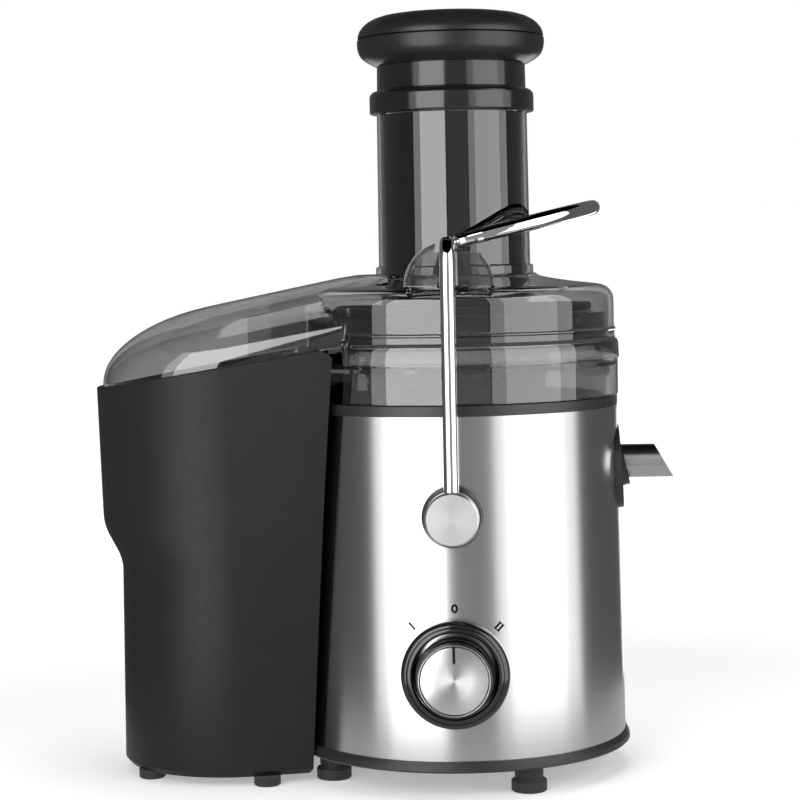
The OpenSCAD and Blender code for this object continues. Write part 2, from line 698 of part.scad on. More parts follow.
// Two crossed bars that join the posts over the axis
module bracket_bars(z)
    for (i = [0, 1]) rotate(45 + 90 * i) translate([-tie_circle_r, -bar_w / 2, z])
        cube([2 * tie_circle_r, bar_w, bar_t]);

module upper_bracket() color([0.66, 0.66, 0.68])
    difference() {
        union() {
            bracket_posts(stack_high, upper_bar_z + bar_t / 2);
            bracket_bars(upper_bar_z);
            translate([0, 0, upper_bar_z])
                cylinder(h = upper_bearing_z + bearing_h + 1 - upper_bar_z, r = 15);
        }
        translate([0, 0, upper_bearing_z - 0.5]) cylinder(h = 10, r = bearing_r);
        translate([0, 0, upper_bar_z - 6]) cylinder(h = 20, r = shaft_r + 2);
        for (i = [0:3]) rotate(45 + 90 * i) translate([mount_circle_r - 12, 0, upper_bar_z - 1])
            cylinder(h = bar_t + 2, r = 2);
    }

module lower_bracket() color([0.66, 0.66, 0.68])
    difference() {
        union() {
            bracket_posts(lower_bar_z + bar_t / 2, stack_low);
            bracket_bars(lower_bar_z);
            translate([-42, -7, lower_bar_z + 0.5]) cube([84, 14, bar_t - 0.5]);
            translate([0, 0, lower_bearing_z - 1]) cylinder(h = 13, r = 15);
        }
        translate([0, 0, lower_bearing_z - 2]) cylinder(h = bearing_h + 2.5, r = bearing_r);
        translate([0, 0, lower_bearing_z - 2]) cylinder(h = 20, r = shaft_r + 2);
    }

module brush_holders() color([0.3, 0.2, 0.1])
    for (side = [0, 1]) mirror([side, 0, 0]) difference() {
        union() {
            translate([14, -5, brush_z - 5]) cube([26, 10, 10]);
            translate([28, -5, lower_bar_z + bar_t]) cube([10, 10, 4]);
        }
        translate([13, -3.5, brush_z - 3.5]) cube([24, 7, 7]);
    }

module carbon_brushes() color([0.2, 0.2, 0.2])
    for (side = [0, 1]) mirror([side, 0, 0]) {
        difference() {
            translate([10.6, -3.4, brush_z - 3.4]) cube([14, 6.8, 6.8]);
            translate([0, 0, brush_z - 12]) cylinder(h = 20, r = bearing_r + free_gap);
        }
        translate([24.6 - eps, 0, brush_z]) to_side() cylinder(h = 12.3, r = 2.2);
    }

module motor_mounts() color([0.1, 0.1, 0.1])
    for (i = [0:3]) rotate(45 + 90 * i) translate([mount_circle_r, 0, mount_top - 20])
        rotate_extrude() polygon([
            [0, 0], [6.8, 0], [6.8, 3], [5, 6], [5, 14], [6.8, 17], [6.8, 20], [1.9, 20],
            [1.9, 30], [0, 30]]);

module shaft_seal() color([0.1, 0.1, 0.1])
    rotate_extrude() polygon([
        [shaft_r + free_gap, 177], [11.95, 177], [11.95, 181], [14, 181.1], [14, 182.6],
        [8, 182.6], [shaft_r + free_gap, 180]]);

module control_board() color([0.1, 0.35, 0.2]) {
    board_x = -67;
    board_t = 1.6;
    face_x = board_x + board_t - eps;
    translate([board_x, -30, 50]) cube([board_t, 60, 60]);
    translate([face_x, -22, 86]) cube([9, 14, 18]);
    for (y = [2, 16]) translate([face_x, y, 92]) to_side() cylinder(h = 11, r = 5);
    translate([face_x, -18, 56]) cube([8, 30, 10]);
}

base_plate();
body_shell();
top_collar();
motor_deck();
foot_at(1);  // body_foot_1
foot_at(2);  // body_foot_2
foot_at(3);  // body_foot_3
foot_at(4);  // body_foot_4
knob_bezel();
knob();
knob_cap();
knob_shaft();
speed_switch();
spout();
spout_housing();
locking_arm();
arm_hub(0);  // arm_hub_front
arm_hub(1);  // arm_hub_rear
pivot_boss(0);  // pivot_boss_front
pivot_boss(1);  // pivot_boss_rear
pivot_pin(0);  // pivot_pin_front
pivot_pin(1);  // pivot_pin_rear
safety_switch();
juice_bowl();
lid();
feed_tube();
pusher_stem();
pusher_cap_base();
pusher_cap_top();
pulp_container();
container_foot(1);  // container_foot_1
container_foot(2);  // container_foot_2
container_foot(3);  // container_foot_3
container_foot(4);  // container_foot_4
filter_basket();
basket_hub();
basket_rim();
grater_disc();
drive_coupling();
motor_shaft();
armature();
commutator();
cooling_fan();
bearing_at(upper_bearing_z);  // upper_bearing
bearing_at(lower_bearing_z);  // lower_bearing
stator();
field_coils();
upper_bracket();
lower_bracket();
brush_holders();
carbon_brushes();
motor_mounts();
shaft_seal();
control_board();
base_screws();
cord_grommet();
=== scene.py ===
"""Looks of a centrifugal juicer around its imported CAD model, in the model's own frame."""

import json
import math

import bmesh
import bpy
from mathutils import Matrix, Vector


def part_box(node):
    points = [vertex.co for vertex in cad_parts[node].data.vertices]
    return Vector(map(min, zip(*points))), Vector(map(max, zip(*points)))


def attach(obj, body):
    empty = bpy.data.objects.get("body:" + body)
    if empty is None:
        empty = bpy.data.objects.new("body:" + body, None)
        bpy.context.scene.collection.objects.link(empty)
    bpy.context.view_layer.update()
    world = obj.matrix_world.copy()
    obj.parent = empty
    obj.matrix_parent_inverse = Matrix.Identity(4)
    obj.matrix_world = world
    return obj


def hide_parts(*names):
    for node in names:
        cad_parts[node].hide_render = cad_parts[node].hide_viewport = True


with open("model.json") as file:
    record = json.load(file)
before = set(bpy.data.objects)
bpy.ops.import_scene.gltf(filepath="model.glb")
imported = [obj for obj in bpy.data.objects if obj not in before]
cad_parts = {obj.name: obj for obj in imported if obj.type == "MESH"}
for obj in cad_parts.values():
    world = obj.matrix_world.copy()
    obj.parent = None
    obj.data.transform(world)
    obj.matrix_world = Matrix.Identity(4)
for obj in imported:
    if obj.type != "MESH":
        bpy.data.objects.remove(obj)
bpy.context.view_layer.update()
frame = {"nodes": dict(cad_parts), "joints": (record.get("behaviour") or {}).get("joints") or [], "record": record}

MM = 0.001
TURN = 2 * math.pi


def node_box(node):
    """Lowest and highest corner of a CAD node at rest, in millimetres."""
    return [[value / MM for value in corner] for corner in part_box(node)]


# ---------- Material helpers ----------

class Surface:
    """A Principled material with short calls for the nodes that shape it."""

    def __init__(self, name, **constants):
        self.material = bpy.data.materials.new(name)
        self.material.use_nodes = True
        self.tree = self.material.node_tree
        self.shader = self.tree.nodes["Principled BSDF"]
        for socket, value in constants.items():
            self.shader.inputs[socket.replace("_", " ")].default_value = value

    def node(self, kind, **inputs):
        made = self.tree.nodes.new(kind)
        for name, value in inputs.items():
            self.feed(made.inputs[name.replace("_", " ")], value)
        return made

    def feed(self, socket, value):
        if isinstance(value, bpy.types.NodeSocket):
            self.tree.links.new(value, socket)
        else:
            socket.default_value = value

    def place(self, scale=(1, 1, 1)):
        """Position on the object in metres, stretched by scale."""
        coords = self.node("ShaderNodeTexCoord")
        mapping = self.node("ShaderNodeMapping", Vector=coords.outputs["Object"])
        mapping.inputs["Scale"].default_value = scale
        return mapping.outputs["Vector"]

    def noise(self, scale, stretch=(1, 1, 1), detail=3.0):
        made = self.node("ShaderNodeTexNoise", Vector=self.place(stretch), Scale=scale, Detail=detail)
        return made.outputs["Fac"]

    def remap(self, value, low, high, from_low=0.3, from_high=0.7):
        made = self.node("ShaderNodeMapRange", Value=value)
        made.inputs["From Min"].default_value = from_low
        made.inputs["From Max"].default_value = from_high
        made.inputs["To Min"].default_value = low
        made.inputs["To Max"].default_value = high
        return made.outputs["Result"]

    def mix(self, factor, dark, light):
        """Colour that goes from dark to light with the factor."""
        ramp = self.node("ShaderNodeValToRGB", Fac=factor)
        ramp.color_ramp.elements[0].color = (*dark, 1)
        ramp.color_ramp.elements[1].color = (*light, 1)
        return ramp.outputs["Color"]

    def bump(self, height, strength, distance):
        made = self.node("ShaderNodeBump", Height=height, Strength=strength, Distance=distance)
        self.set("Normal", made.outputs["Normal"])

    def set(self, socket, value):
        self.feed(self.shader.inputs[socket], value)


def grey(value):
    return (value, value, value)


def moulded(name, value, rough, grain, depth, coat=0.0, shine=0.5):
    """Moulded plastic: slightly uneven colour and gloss over a fine grain."""
    s = Surface(name, Specular_IOR_Level=shine, Coat_Weight=coat, Coat_Roughness=0.08)
    patches = s.noise(35, detail=4)
    s.set("Base Color", s.mix(patches, grey(value * 0.85), grey(value * 1.15)))
    s.set("Roughness", s.remap(s.noise(220, detail=5), rough - 0.05, rough + 0.05))
    s.bump(s.noise(grain, detail=2), 0.35, depth)
    return s.material


def brushed(name, value, rough, stretch, aniso, axis=None, depth=0.2):
    """Brushed metal: fine streaks in gloss, colour and height, long where stretch is small."""
    s = Surface(name, Metallic=1.0, Anisotropic=aniso, Anisotropic_Rotation=0.25)
    streaks = s.noise(1.0, stretch, detail=6)
    s.set("Base Color", s.mix(streaks, grey(value * 0.93), grey(value * 1.05)))
    finer = tuple(2.3 * x for x in stretch)
    s.set("Roughness", s.remap(s.noise(1.0, finer, detail=4), rough - 0.02, rough + 0.02))
    s.bump(streaks, depth, 0.00001)
    if axis:
        tangent = s.node("ShaderNodeTangent")
        tangent.direction_type = "RADIAL"
        tangent.axis = axis
        s.set("Tangent", tangent.outputs["Tangent"])
    return s.material


def clear_smoke(name, tint):
    """Clear tinted plastic with faint moulding waves and a strong gloss."""
    s = Surface(name, Transmission_Weight=1.0, IOR=1.49, Coat_Weight=1.0, Coat_IOR=1.75,
                Coat_Roughness=0.02)
    s.set("Base Color", s.mix(s.noise(14), grey(tint * 0.985), grey(tint)))
    s.set("Roughness", s.remap(s.noise(60), 0.02, 0.04))
    s.bump(s.noise(18, detail=1), 0.015, 0.0004)
    return s.material


def polished(name, value, rough):
    s = Surface(name, Metallic=1.0)
    s.set("Base Color", s.mix(s.noise(40), grey(value * 0.97), grey(value)))
    s.set("Roughness", s.remap(s.noise(300, detail=6), rough, rough + 0.03))
    s.bump(s.noise(25, detail=1), 0.02, 0.0002)
    return s.material


def rubbery(name):
    s = Surface(name, Sheen_Weight=0.15, Sheen_Roughness=0.5)
    s.set("Base Color", s.mix(s.noise(60), grey(0.010), grey(0.022)))
    s.set("Roughness", s.remap(s.noise(500, detail=4), 0.55, 0.75))
    s.bump(s.noise(1500, detail=2), 0.4, 0.00008)
    return s.material


def wound_copper(name):
    """Enamelled wire laid round the axis in fine turns."""
    s = Surface(name, Metallic=0.85, Coat_Weight=0.6, Coat_Roughness=0.12)
    wave = s.node("ShaderNodeTexWave", Vector=s.place(), Scale=420.0, Distortion=0.6)
    wave.bands_direction = "Z"
    s.set("Base Color", s.mix(wave.outputs["Fac"], (0.16, 0.055, 0.02), (0.60, 0.25, 0.10)))
    s.set("Roughness", s.remap(s.noise(200), 0.22, 0.38))
    s.bump(wave.outputs["Fac"], 0.6, 0.0002)
    return s.material


def stacked_iron(name):
    """Thin varnished plates on top of each other."""
    s = Surface(name, Metallic=0.7, Coat_Weight=0.3, Coat_Roughness=0.2)
    wave = s.node("ShaderNodeTexWave", Vector=s.place(), Scale=620.0, Distortion=0.15)
    wave.bands_direction = "Z"
    s.set("Base Color", s.mix(wave.outputs["Fac"], grey(0.10), grey(0.26)))
    s.set("Roughness", s.remap(s.noise(250), 0.35, 0.5))
    s.bump(wave.outputs["Fac"], 0.5, 0.00015)
    return s.material


def sand_cast(name):
    s = Surface(name, Metallic=1.0)
    s.set("Base Color", s.mix(s.noise(90, detail=5), grey(0.38), grey(0.52)))
    s.set("Roughness", s.remap(s.noise(300, detail=4), 0.42, 0.6))
    s.bump(s.noise(700, detail=4), 0.5, 0.00015)
    return s.material


def pressed_carbon(name):
    s = Surface(name)
    s.set("Base Color", s.mix(s.noise(900, detail=5), grey(0.010), grey(0.05)))
    s.set("Roughness", s.remap(s.noise(400), 0.45, 0.6))
    s.bump(s.noise(1200), 0.3, 0.00005)
    return s.material


def circuit_board(name):
    s = Surface(name, Coat_Weight=0.4, Coat_Roughness=0.15)
    cells = s.node("ShaderNodeTexVoronoi", Vector=s.place(), Scale=260.0)
    cells.feature = "DISTANCE_TO_EDGE"
    tracks = s.remap(cells.outputs["Distance"], 1.0, 0.0, 0.04, 0.09)
    s.set("Base Color", s.mix(tracks, (0.008, 0.05, 0.025), (0.03, 0.16, 0.07)))
    s.set("Roughness", s.remap(s.noise(200), 0.3, 0.45))
    s.bump(tracks, 0.3, 0.0001)
    return s.material


ROUND_Z = (3.0, 3.0, 2600.0)  # stretch that draws streaks out round the vertical axis
PLAIN_GRAIN = 1800            # fine grain of ordinary mouldings

MATERIALS = {
    "black_plastic": moulded("black_plastic", 0.018, 0.36, PLAIN_GRAIN, 0.00006),
    "steel_shell": brushed("steel_shell", 0.62, 0.24, ROUND_Z, 0.5, "Z", depth=0.3),
    "rubber": rubbery("rubber"),
    "gloss_black": moulded("gloss_black", 0.008, 0.14, 300, 0.00001, 0.6),
    "satin_black": moulded("satin_black", 0.012, 0.33, PLAIN_GRAIN, 0.00004),
    "spun_metal": brushed("spun_metal", 0.80, 0.24, (900, 900, 900), 0.85, "Y"),
    "satin_metal": brushed("satin_metal", 0.62, 0.34, (700, 700, 700), 0.3, "Y"),
    "chrome": polished("chrome", 0.85, 0.03),
    "spout_metal": brushed("spout_metal", 0.6, 0.24, (6, 1500, 1500), 0.4, "X"),
    "smoke_clear": clear_smoke("smoke_clear", 0.55),
    "container_plastic": moulded("container_plastic", 0.015, 0.42, PLAIN_GRAIN, 0.00008, shine=0.2),
    "inner_plastic": moulded("inner_plastic", 0.05, 0.45, PLAIN_GRAIN, 0.00006),
    "basket_steel": brushed("basket_steel", 0.32, 0.3, (900, 900, 900), 0.2),
    "bright_steel": brushed("bright_steel", 0.55, 0.25, (40, 40, 1800), 0.3, "Z"),
    "motor_iron": stacked_iron("motor_iron"),
    "copper": wound_copper("copper"),
    "cast_alloy": sand_cast("cast_alloy"),
    "carbon": pressed_carbon("carbon"),
    "board": circuit_board("board"),
}
# The thicker clear parts look darker than the lid
NODE_MATERIALS = {
    "juice_bowl": clear_smoke("smoke_bowl", 0.36),
    "feed_tube": clear_smoke("smoke_tube", 0.36),
}
DIAL_INK = moulded("dial_ink", 0.004, 0.85, PLAIN_GRAIN, 0.00002, shine=0.1)


def dress_cad_nodes():
    """Gives every CAD node the material of its slot in the record, or its own one."""
    slots = {row["node"]: row["material_slot"] for row in frame["record"]["subparts"]}
    for name, piece in frame["nodes"].items():
        piece.data.materials.clear()
        piece.data.materials.append(NODE_MATERIALS.get(name, MATERIALS[slots[name]]))


dress_cad_nodes()

# ---------- Mesh helpers ----------

WELD = 2e-7  # metres; points closer than this become one


def mark_sharp(mesh, degrees=32):
    """Shades a mesh smooth, with hard edges where its faces meet at more than this angle."""
    work = bmesh.new()
    work.from_mesh(mesh)
    bmesh.ops.remove_doubles(work, verts=work.verts, dist=WELD)
    bmesh.ops.delete(work, geom=[e for e in work.edges if e.is_wire], context="EDGES")
    bmesh.ops.recalc_face_normals(work, faces=work.faces)
    limit = math.radians(degrees)
    for face in work.faces:
        face.smooth = True
    for edge in work.edges:
        edge.smooth = not edge.is_manifold or edge.calc_face_angle() < limit
    work.to_mesh(mesh)
    work.free()


def make_piece(name, vertices, faces, slot, body, replaces=(), sharp=32):
    """Piece with the finish of a slot in the record, or with a material of its own."""
    mesh = bpy.data.meshes.new(name)
    mesh.from_pydata(vertices, [], faces)
    mark_sharp(mesh, sharp)
    own_material = isinstance(slot, bpy.types.Material)
    mesh.materials.append(slot if own_material else MATERIALS[slot])
    piece = bpy.data.objects.new(name, mesh)
    bpy.context.scene.collection.objects.link(piece)
    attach(piece, body)
    if replaces:
        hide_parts(*replaces)
    return piece


def apply_modifiers(piece, sharp=32):
    """Bakes the piece's modifiers into its mesh."""
    baked = bpy.data.meshes.new_from_object(piece.evaluated_get(bpy.context.evaluated_depsgraph_get()))
    piece.modifiers.clear()
    piece.data = baked
    mark_sharp(baked, sharp)


def grid_faces(rows, columns, wrap_columns=False, wrap_rows=False):
    """Quads of a grid whose points are listed row by row."""
    faces = []
    for i in range(rows if wrap_rows else rows - 1):
        for j in range(columns if wrap_columns else columns - 1):
            a, b = i * columns + j, i * columns + (j + 1) % columns
            c, d = ((i + 1) % rows) * columns + (j + 1) % columns, ((i + 1) % rows) * columns + j
            faces.append((a, b, c, d))
    return faces


def turned(profile, steps, along=None):
    """Points of a profile of (radius, height) pairs in millimetres, turned about the vertical axis."""
    place = along or (lambda r, z, a: (r * math.cos(a), r * math.sin(a), z))
    return [tuple(MM * v for v in place(r, z, TURN * j / steps))
            for r, z in profile for j in range(steps)]


def lathe(name, profile, slot, body, replaces=(), steps=160, along=None, sharp=32):
    """A turned piece; the profile runs all round its section and isn't repeated at the end."""
    points = turned(profile, steps, along)
    faces = grid_faces(len(profile), steps, wrap_columns=True, wrap_rows=True)
    return make_piece(name, points, faces, slot, body, replaces, sharp)


def between(p, q, t):
    """What lies the share t of the way from p to q; both are lists of as many values."""
    return tuple(a + (b - a) * t for a, b in zip(p, q))


def arc(centre, radius, start, end, steps):
    """Points of an arc in a profile; angles are in degrees."""
    angles = [math.radians(start + (end - start) * i / steps) for i in range(steps + 1)]
    return [(centre[0] + radius * math.cos(a), centre[1] + radius * math.sin(a)) for a in angles]


# ---------- Clear lid with its pulp hood ----------

# The shapes are in millimetres up to the studio; MM turns them into the scene's metres
RIM_SLOPE = 0.1548       # rise of the container's rim per unit of x
RIM_AT_AXIS = 243.2      # height of the rim's plane on the body's axis
HOOD_X = -124.5          # middle of the hood's round end
HOOD_R = 70.4
HOOD_TAPER = 0.0567      # how much the hood narrows towards the body
HOOD_RISE = 33.4         # height of the hood's roof above the rim's plane at its middle
HOOD_RISE_AT = -131
HOOD_LIFT = 0.04         # how much higher the roof gets per unit of x
HOOD_EDGE = 60           # distance from the hood's outline where the roof stops rising
HOOD_SWELL = 2.2         # roundness of that rise: 2 is an ellipse, more is squarer
SKIRT_R = node_box("lid")[1][0]
LID_R = SKIRT_R - 2.6
TUBE_RING_R = node_box("feed_tube")[1][0]
TUBE_HOLE_R = TUBE_RING_R - 1.4
CROWN_Z = 270.4          # height of the lid where it meets the feed tube
CLEAR_WALL = 2.4


def rim_plane(x):
    return RIM_AT_AXIS + RIM_SLOPE * x


def hood_roof(x, y):
    """Height of the hood's outer face at a point, rounded towards its outline."""
    if x < HOOD_X:
        reach = math.hypot(x - HOOD_X, y)
    else:
        reach = abs(y) + HOOD_TAPER * (x - HOOD_X)
    inside = min(max((HOOD_R - reach) / HOOD_EDGE, 0), 1)
    swell = (1 - (1 - inside) ** HOOD_SWELL) ** (1 / HOOD_SWELL)
    roof = rim_plane(x) + (HOOD_RISE + HOOD_LIFT * (x - HOOD_RISE_AT)) * swell
    return min(roof, CROWN_Z + 0.5)


def lid_outline(angle):
    """Distance from the body's axis to the lid's edge; angle 0 points at the hood's end."""
    s, c = math.sin(abs(angle)), math.cos(angle)
    away = -HOOD_X
    if c > 0 and away * s < HOOD_R:
        reach = away * c + math.sqrt(HOOD_R ** 2 - (away * s) ** 2)
        if reach * c >= away:
            return max(reach, LID_R)
    side = s - HOOD_TAPER * c
    if c > 0 and side > 0:
        return max((HOOD_R - HOOD_TAPER * away) / side, LID_R)
    return LID_R


# Outer points of the lid's top from the feed tube out to its side wall: radius, height
SHOULDER = [(46.0, 269.0), (49.0, 268.1), (54.0, 267.1), (63.2, 265.6), (73.1, 264.4), (77.0, 263.9),
            (79.8, 263.4), (81.8, 262.6), (83.3, 261.6), (84.8, 260.0), (85.8, 258.2), (86.3, 256.0),
            (LID_R, 254.5)]


def lid_section(angle):
    """Outer points of the lid from the feed tube out and down, at one angle about the axis."""
    wall_top, wall_foot = 254.0, 241.0
    tucked_from, tucked, clear_above = 98, 3.0, 0.8
    roof_rows, edge_rows = 26, 10
    edge = lid_outline(angle)
    hooded = edge > LID_R + 0.01
    c, s = -math.cos(angle), math.sin(angle)
    points = [(TUBE_HOLE_R, CROWN_Z), (TUBE_RING_R + 1, CROWN_Z)]
    for r, z in SHOULDER:
        points.append((r, max(z, hood_roof(r * c, r * s)) if hooded else z))
    for k in range(roof_rows + 1):
        t = k / roof_rows
        if hooded:
            r = edge - (edge - LID_R) * (1 - t) ** 3
            points.append((r, hood_roof(r * c, r * s)))
        else:
            points.append((LID_R, wall_top - (wall_top - wall_foot) * t))
    if hooded:
        # The hood's edge reaches into the container, and passes over its rim near the body
        foot = rim_plane(edge * c) + (-tucked if edge > tucked_from else clear_above)
        low = points[-1][1]
        points += [(edge, low + (foot - low) * k / edge_rows) for k in range(1, edge_rows + 1)]
    else:
        points += [(86.6, 240.4), (87.2, 239.9), (87.2, 239.2), (86.6, 238.6), (86.6, 235.4),
                   (85.8, 235.2), (85.8, 234.0), (88.0, 233.6), (88.6, 231.8), (SKIRT_R, 224.0)]
    return points


def build_lid():
    """The lid and its hood as one shell; columns stand closer where the hood's end curves."""
    taper_angle = 0.056
    seam = math.asin((HOOD_R + HOOD_TAPER * HOOD_X) / LID_R) + taper_angle
    nose = 0.5
    angles = []
    for low, high, count in ((-math.pi, -seam, 130), (-seam, -nose, 44), (-nose, nose, 90),
                             (nose, seam, 44), (seam, math.pi, 130)):
        angles += [low + (high - low) * j / count for j in range(count)]
    columns = [lid_section(a) for a in angles]
    points = [(-r * math.cos(a) * MM, r * math.sin(a) * MM, z * MM)
              for row in zip(*columns) for (r, z), a in zip(row, angles)]
    faces = grid_faces(len(columns[0]), len(columns), wrap_columns=True)
    lid = make_piece("lid_shell", points, faces, "smoke_clear", "base", ("lid",))
    shell = lid.modifiers.new("wall", "SOLIDIFY")
    shell.thickness = CLEAR_WALL * MM
    shell.offset = -1
    apply_modifiers(lid, 38)


LATCH_CENTRE = (0, 264.9)
PIVOT_Z = next(j for j in frame["joints"] if j["name"] == "arm_swing")["pos_m"][2] / MM


def latch_outline():
    """Half moon with a notch at its top that the arm's rung rests in."""
    radius, notch_x, notch_floor = 23.3, -7.0, 282.7
    sweep_r = 135.7
    start = math.degrees(math.acos(notch_x / radius))
    left = arc(LATCH_CENTRE, radius, 180, start, 22)
    sweep = [(x, PIVOT_Z + math.sqrt(sweep_r ** 2 - x ** 2)) for x in (0, 4, 8, 12)]
    right = arc(LATCH_CENTRE, radius, 46, 0, 16)
    return left, [(notch_x, notch_floor)] + sweep, right


def slab(outline, y0, y1, side):
    """Solid between two upright planes; the outline is in (x, z) millimetres."""
    n = len(outline)
    points = [(x * MM, side * y * MM, z * MM) for y in (y0, y1) for x, z in outline]
    faces = [tuple(range(n)), tuple(range(2 * n - 1, n - 1, -1))]
    faces += [(j, (j + 1) % n, n + (j + 1) % n, n + j) for j in range(n)]
    return points, faces


def joined(parts):
    """Points and faces of several solids as one list each."""
    points, faces = [], []
    for more_points, more_faces in parts:
        start = len(points)
        points += more_points
        faces += [tuple(start + v for v in face) for face in more_faces]
    return points, faces


def band(points, centre, thickness):
    """Closed outline of a strip that follows the points, thickness deep towards the centre."""
    inner = []
    for p in reversed(points):
        away = math.dist(p, centre)
        inner.append(between(centre, p, (away - thickness) / away))
    return points + inner


def build_latches():
    """Each latch is a plate with a bead along its outer edge and a rim behind it."""
    left, top, right = latch_outline()
    plate_back, plate_front, bead_front, rim_back = 78.6, 81.0, 82.0, 64.0
    bead, rim, apart = 1.3, 2.2, 0.01
    for side, name in ((-1, "latch_front"), (1, "latch_rear")):
        parts = [slab(left + top + right, plate_back, plate_front, side),
                 slab(band(left, LATCH_CENTRE, bead), plate_front + apart, bead_front, side)]
        for edge in (left, right):
            parts.append(slab(band(edge, LATCH_CENTRE, rim), rim_back, plate_back - apart, side))
        latch = make_piece(name, *joined(parts), "smoke_clear", "base")
        bevel = latch.modifiers.new("edge", "BEVEL")
        bevel.width = 0.35 * MM
        bevel.segments = 2
        bevel.limit_method = "ANGLE"
        bevel.angle_limit = math.radians(50)
        apply_modifiers(latch, 20)


def swept_strip(name, section, middle, half_angle, slot):
    """Solid strip of one section, bent round the body's axis on both sides of the middle angle."""
    steps = int(2 * half_angle)
    points = []
    for k in range(steps + 1):
        a = math.radians(middle - half_angle + 2 * half_angle * k / steps)
        points += [(r * math.cos(a) * MM, r * math.sin(a) * MM, z * MM) for r, z in section]
    n = len(section)
    faces = grid_faces(steps + 1, n, wrap_columns=True)
    faces += [tuple(range(n)), tuple(reversed(range(steps * n, steps * n + n)))]
    make_piece(name, points, faces, slot, "base")


def build_lid_edge():
    """The lid's skirt where it runs on under the hood, and a dark rubber ring in the groove above it that is
    painted shade: it stands in for the shadow gap where the lid meets the bowl.
    """
    skirt = [(86.6, 224.0), (SKIRT_R, 224.0), (88.6, 231.0), (88.0, 232.4), (86.6, 232.4)]
    swept_strip("hood_skirt", skirt, 180, 52, "smoke_clear")
    # Painted shade: a dark ring in the groove stands in for the shadow gap where the lid meets the bowl
    shadow_ring = [(85.85, 234.1), (86.8, 234.1), (87.0, 234.3), (87.0, 235.0), (86.8, 235.2), (85.85, 235.2)]
    swept_strip("lid_shadow_ring", shadow_ring, 0, 127, "rubber")


def build_chute_walls():
    """Two upright walls under the hood that lead the pulp from the bowl to the container."""
    rows, columns = 12, 26
    x_start, x_end, inner_y, outer_y = -108.0, -77.0, 50.0, 52.0
    above_rim, below_roof = 2.0, 0.3
    across = columns + 1
    sheet = (rows + 1) * across
    front = grid_faces(rows + 1, across)
    back = [tuple(sheet + v for v in reversed(face)) for face in front]
    rim = [i * across for i in range(rows + 1)]
    rim += [rows * across + j for j in range(1, across)]
    rim += [i * across + columns for i in range(rows - 1, -1, -1)]
    rim += list(range(columns - 1, 0, -1))
    edge = [(v, w, sheet + w, sheet + v) for v, w in zip(rim, rim[1:] + rim[:1])]
    parts = []
    for side in (-1, 1):
        points = []
        for y in (inner_y, outer_y):
            for i in range(rows + 1):
                for j in range(across):
                    x = x_start + (x_end - x_start) * j / columns
                    low = rim_plane(x) + above_rim
                    high = hood_roof(x, outer_y) - CLEAR_WALL - below_roof
                    points.append((x * MM, side * y * MM, (low + (high - low) * i / rows) * MM))
        parts.append((points, front + back + edge))
    make_piece("chute_walls", *joined(parts), "smoke_clear", "base")


# ---------- Pulp container ----------

# Height, half length, half depth, outer end, corner x and corner y of the container at each level
TUB_LEVELS = [
    (5.0, 59.0, 57.5, -185.5, -84.0, 48.0),
    (8.0, 61.5, 60.0, -188.2, -81.0, 50.5),
    (117.5, 62.5, 67.0, -186.6, -70.0, 60.0),
    (136.5, 72.0, 68.5, -196.8, -68.0, 61.5),
    (260.0, 75.5, 76.0, -199.5, -57.0, 72.0)]
NEST_R = 93.2            # the hollow back that fits round the body
TUB_CORNER_R = 4.0
TUB_FLOOR = node_box("pulp_container")[0][2]


def tub_level(z):
    """The container's measures at one height, with its two bends rounded off."""
    def at(height):
        for low, high in zip(TUB_LEVELS, TUB_LEVELS[1:]):
            if height <= high[0] or high is TUB_LEVELS[-1]:
                t = (max(height, low[0]) - low[0]) / (high[0] - low[0])
                return between(low[1:], high[1:], t)
    straight_below = 100
    if z < straight_below:
        return at(z)
    samples = [at(z + d) for d in (-5, -3, -1, 1, 3, 5)]
    return [sum(values) / len(samples) for values in zip(*samples)]


def outside_circle(path, radius):
    """A path up to where it enters a circle about the body's axis."""
    kept = [path[0]]
    for p in path[1:]:
        away, last_away = math.hypot(*p), math.hypot(*kept[-1])
        if away < radius:
            kept.append(between(kept[-1], p, (last_away - radius) / (last_away - away)))
            break
        kept.append(p)
    return kept


def evenly_spaced(path, count):
    """Points that split a path into count steps of one length."""
    lengths = [0.0]
    for p, q in zip(path, path[1:]):
        lengths.append(lengths[-1] + math.dist(p, q))
    even, k = [], 0
    for i in range(count + 1):
        want = lengths[-1] * i / count
        while k < len(path) - 2 and lengths[k + 1] < want:
            k += 1
        t = (want - lengths[k]) / max(lengths[k + 1] - lengths[k], 1e-9)
        even.append(between(path[k], path[k + 1], t))
    return even


def half_outline(z, inset, nest_r, count, nest_count):
    """Rear half of the container's outline at one height, from its outer end to its hollow back."""
    a, b, end, corner_x, corner_y = tub_level(z)
    a, b, end, corner_y = a - inset, b - inset, end + inset, corner_y - inset
    path = []
    samples = 360
    for k in range(samples + 1):
        t = math.pi * (1 - k / samples)
        c, s = math.cos(t), math.sin(t)
        reach = math.hypot(a * c, b * s)
        oval = (end + a + a * a * c / reach, b * b * s / reach)
        corner = (corner_x + TUB_CORNER_R * c, corner_y - TUB_CORNER_R + TUB_CORNER_R * s)
        path.append(max(oval, corner, key=lambda p: p[0] * c + p[1] * s))
    fine = []
    for p, q in zip(path, path[1:]):
        parts = max(1, int(math.dist(p, q)))
        fine += [between(p, q, i / parts) for i in range(parts)]
    even = evenly_spaced(outside_circle(fine, nest_r), count)
    start = math.atan2(even[-1][1], even[-1][0])
    turn = [start + (math.pi - start) * i / nest_count for i in range(1, nest_count + 1)]
    return even + [(nest_r * math.cos(t), nest_r * math.sin(t)) for t in turn]


def rim_height(x):
    """Height of the container's rim, rounded down at its inner corner."""
    corner_r, corner_x = 9.0, -61.0
    over = min(max(x - corner_x + corner_r, 0), corner_r)
    return rim_plane(x) - (corner_r - math.sqrt(corner_r ** 2 - over ** 2))


